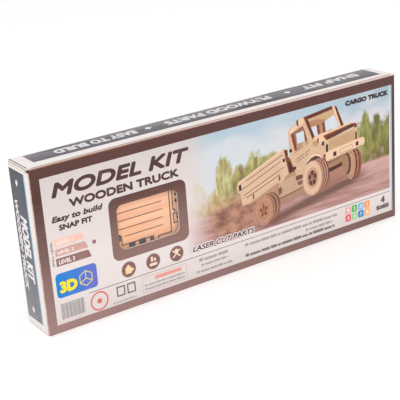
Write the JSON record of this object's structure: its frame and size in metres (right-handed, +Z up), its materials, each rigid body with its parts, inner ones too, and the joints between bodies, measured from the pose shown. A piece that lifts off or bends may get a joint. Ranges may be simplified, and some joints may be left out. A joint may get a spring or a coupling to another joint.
{
  "type": "boxed wooden model kit",
  "caption": "Flat display carton with a tuck lid and a film window, holding laser-cut plywood boards of press-out truck parts and a folded leaflet.",
  "frame": {"origin": "on the ground under the centre of the carton", "axes": "+X along the carton's long side, to the right seen from the front; the front panel faces -Y; +Z up"},
  "size_m": [0.285, 0.029, 0.107],
  "materials": {
    "printed_card": "satin",
    "clear_film": "gloss",
    "plywood": "matte",
    "leaflet_paper": "matte"
  },
  "bodies": {
    "carton": {"front_panel": "printed_card", "back_panel": "printed_card", "left_end_panel": "printed_card", "right_end_panel": "printed_card", "glue_seam": "printed_card", "bottom_outer_panel": "printed_card", "bottom_inner_panel": "printed_card", "bottom_left_flap": "printed_card", "bottom_right_flap": "printed_card", "window_film": "clear_film"},
    "lid": {"top_lid": "printed_card"},
    "tuck_flap": {"top_tuck_flap": "printed_card"},
    "left_dust_flap": {"top_left_dust_flap": "printed_card"},
    "right_dust_flap": {"top_right_dust_flap": "printed_card"},
    "bed_sheet": {"bed_board": "plywood", "bed_floor": "plywood", "bed_side_left": "plywood", "bed_side_right": "plywood", "tailgate": "plywood", "bed_front_wall": "plywood", "bed_beam_front": "plywood", "bed_beam_rear": "plywood", "spring_bracket": "plywood", "tow_bar": "plywood"},
    "cab_sheet": {"cab_board": "plywood", "cab_side_left": "plywood", "cab_side_right": "plywood", "cab_roof": "plywood", "cab_rear_wall": "plywood", "windscreen_frame": "plywood", "bonnet_top": "plywood", "grille_plate": "plywood", "front_bumper": "plywood", "fender_left": "plywood", "fender_right": "plywood"},
    "chassis_sheet": {"chassis_board": "plywood", "chassis_rail_left": "plywood", "chassis_rail_right": "plywood", "cross_member_front": "plywood", "cross_member_middle": "plywood", "cross_member_rear": "plywood", "front_axle": "plywood", "rear_axle": "plywood", "chassis_plate": "plywood", "seat_plate": "plywood", "steering_wheel": "plywood"},
    "wheel_sheet": {"wheel_board": "plywood", "tyre_front_left": "plywood", "rim_front_left": "plywood", "washer_front_left": "plywood", "tyre_front_right": "plywood", "rim_front_right": "plywood", "washer_front_right": "plywood", "tyre_rear_left": "plywood", "rim_rear_left": "plywood", "washer_rear_left": "plywood", "tyre_rear_right": "plywood", "rim_rear_right": "plywood", "washer_rear_right": "plywood"},
    "leaflet": {"assembly_leaflet": "leaflet_paper"}
  },
  "joints": [
    {"name": "lid_fold", "type": "hinge", "parent": "carton", "child": "lid", "pos_m": [0, 0.0145, 0.10585], "axis": [-1, 0, 0], "range_deg": [0, 120]},
    {"name": "tuck_fold", "type": "hinge", "parent": "lid", "child": "tuck_flap", "pos_m": [0, -0.0119, 0.10585], "axis": [-1, 0, 0], "range_deg": [-90, 0]},
    {"name": "left_flap_fold", "type": "hinge", "parent": "carton", "child": "left_dust_flap", "pos_m": [-0.1425, 0, 0.10455], "axis": [0, -1, 0], "range_deg": [0, 30]},
    {"name": "right_flap_fold", "type": "hinge", "parent": "carton", "child": "right_dust_flap", "pos_m": [0.1425, 0, 0.10455], "axis": [0, 1, 0], "range_deg": [0, 30]},
    {"name": "bed_board_lift", "type": "slide", "parent": "carton", "child": "bed_sheet", "axis": [0, 0, 1], "range_m": [0, 0.013]},
    {"name": "cab_board_lift", "type": "slide", "parent": "carton", "child": "cab_sheet", "axis": [0, 0, 1], "range_m": [0, 0.013]},
    {"name": "chassis_board_lift", "type": "slide", "parent": "carton", "child": "chassis_sheet", "axis": [0, 0, 1], "range_m": [0, 0.013]},
    {"name": "wheel_board_lift", "type": "slide", "parent": "carton", "child": "wheel_sheet", "axis": [0, 0, 1], "range_m": [0, 0.013]},
    {"name": "leaflet_lift", "type": "slide", "parent": "carton", "child": "leaflet", "axis": [0, 0, 1], "range_m": [0, 0.013]}
  ],
  "couplings": [
    {"joint": "tuck_fold", "follows": "lid_fold", "ratio": -0.72},
    {"joint": "left_flap_fold", "follows": "lid_fold", "ratio": 0.25},
    {"joint": "right_flap_fold", "follows": "lid_fold", "ratio": 0.25}
  ]
}
